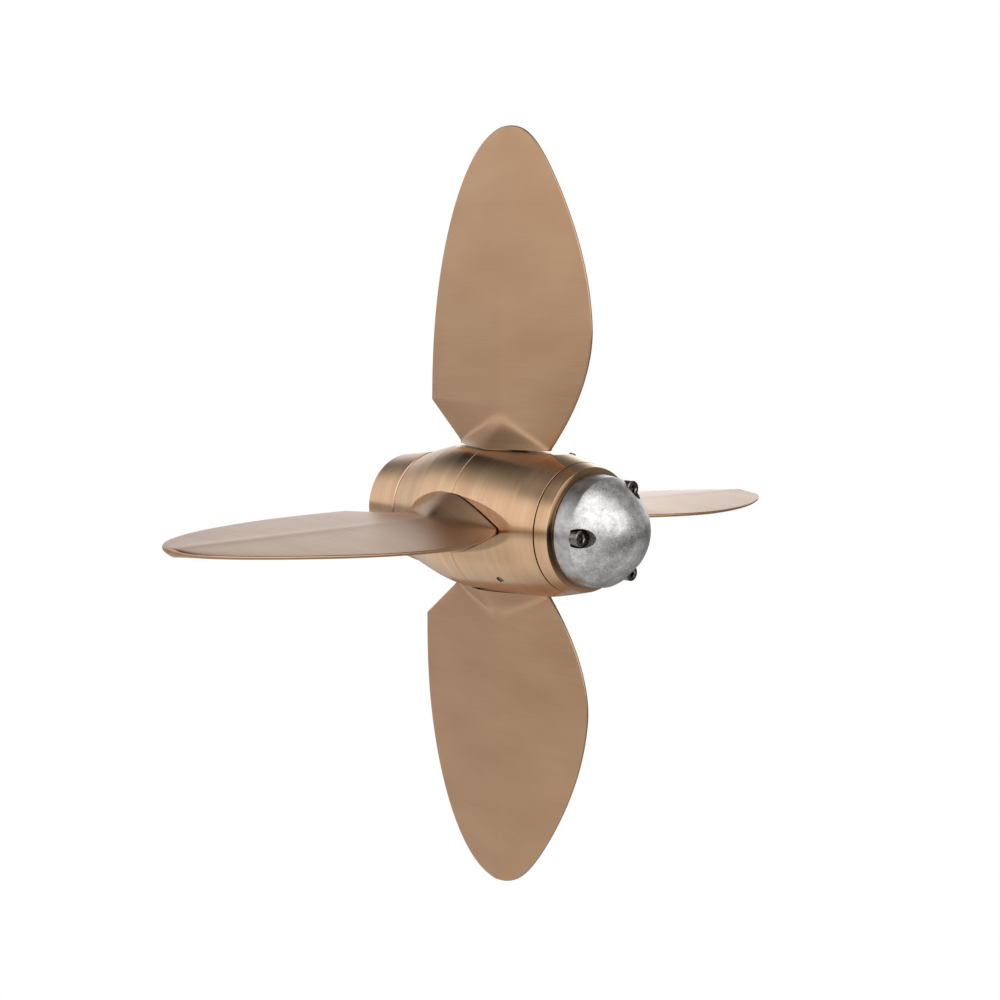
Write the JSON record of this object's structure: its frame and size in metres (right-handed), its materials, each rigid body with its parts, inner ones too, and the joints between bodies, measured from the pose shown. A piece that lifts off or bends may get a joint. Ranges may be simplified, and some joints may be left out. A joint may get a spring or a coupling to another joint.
{
  "type": "feathering ship propeller",
  "caption": "Bronze feathering propeller with flat pivoting blades on a split barrel hub, a tapered shaft boss and a zinc cone anode.",
  "frame": {"origin": "on the shaft axis where the four blade axes meet it", "axes": "+Y along the shaft towards the bow, -Y towards the anode, +Z along the top blade, +X along the right blade seen from aft"},
  "size_m": [0.4996, 0.2195, 0.4996],
  "materials": {
    "satin_bronze": "turned satin bronze with fine rings round the shaft axis",
    "brushed_bronze": "belt brushed bronze with fine marks along the chord",
    "gear_bronze": "cut gear bronze, hidden in the hub",
    "cast_zinc": "rough cast zinc with a turned band",
    "stainless_steel": "plain stainless screws"
  },
  "bodies": {
    "boss": {"shaft_boss": "satin_bronze", "cone_gear": "gear_bronze", "thrust_washer": "stainless_steel", "shaft_nut": "gear_bronze"},
    "hub": {"hub_front_half": "satin_bronze", "hub_rear_half": "satin_bronze", "rear_cover": "satin_bronze", "anode_cone": "cast_zinc", "anode_screw_1": "stainless_steel", "anode_screw_2": "stainless_steel", "anode_screw_3": "stainless_steel", "hub_bolt_1": "stainless_steel", "hub_bolt_2": "stainless_steel", "hub_bolt_3": "stainless_steel", "hub_bolt_4": "stainless_steel", "hub_screw_lower": "stainless_steel", "hub_screw_upper": "stainless_steel"},
    "top_blade": {"blade_top": "brushed_bronze", "blade_gear_top": "gear_bronze"},
    "right_blade": {"blade_right": "brushed_bronze", "blade_gear_right": "gear_bronze"},
    "bottom_blade": {"blade_bottom": "brushed_bronze", "blade_gear_bottom": "gear_bronze"},
    "left_blade": {"blade_left": "brushed_bronze", "blade_gear_left": "gear_bronze"}
  },
  "joints": [
    {"name": "hub_turn", "type": "hinge", "parent": "boss", "child": "hub", "pos_m": [0, 0, 0], "axis": [0, 1, 0], "range_deg": [-43.7, 43.7]},
    {"name": "top_blade_pitch", "type": "hinge", "parent": "hub", "child": "top_blade", "pos_m": [0, 0, 0], "axis": [0, 0, 1], "range_deg": [-70, 70]},
    {"name": "right_blade_pitch", "type": "hinge", "parent": "hub", "child": "right_blade", "pos_m": [0, 0, 0], "axis": [1, 0, 0], "range_deg": [-70, 70]},
    {"name": "bottom_blade_pitch", "type": "hinge", "parent": "hub", "child": "bottom_blade", "pos_m": [0, 0, 0], "axis": [0, 0, -1], "range_deg": [-70, 70]},
    {"name": "left_blade_pitch", "type": "hinge", "parent": "hub", "child": "left_blade", "pos_m": [0, 0, 0], "axis": [-1, 0, 0], "range_deg": [-70, 70]}
  ],
  "couplings": [
    {"joint": "top_blade_pitch", "follows": "hub_turn", "ratio": -1.6},
    {"joint": "right_blade_pitch", "follows": "hub_turn", "ratio": -1.6},
    {"joint": "bottom_blade_pitch", "follows": "hub_turn", "ratio": -1.6},
    {"joint": "left_blade_pitch", "follows": "hub_turn", "ratio": -1.6}
  ]
}
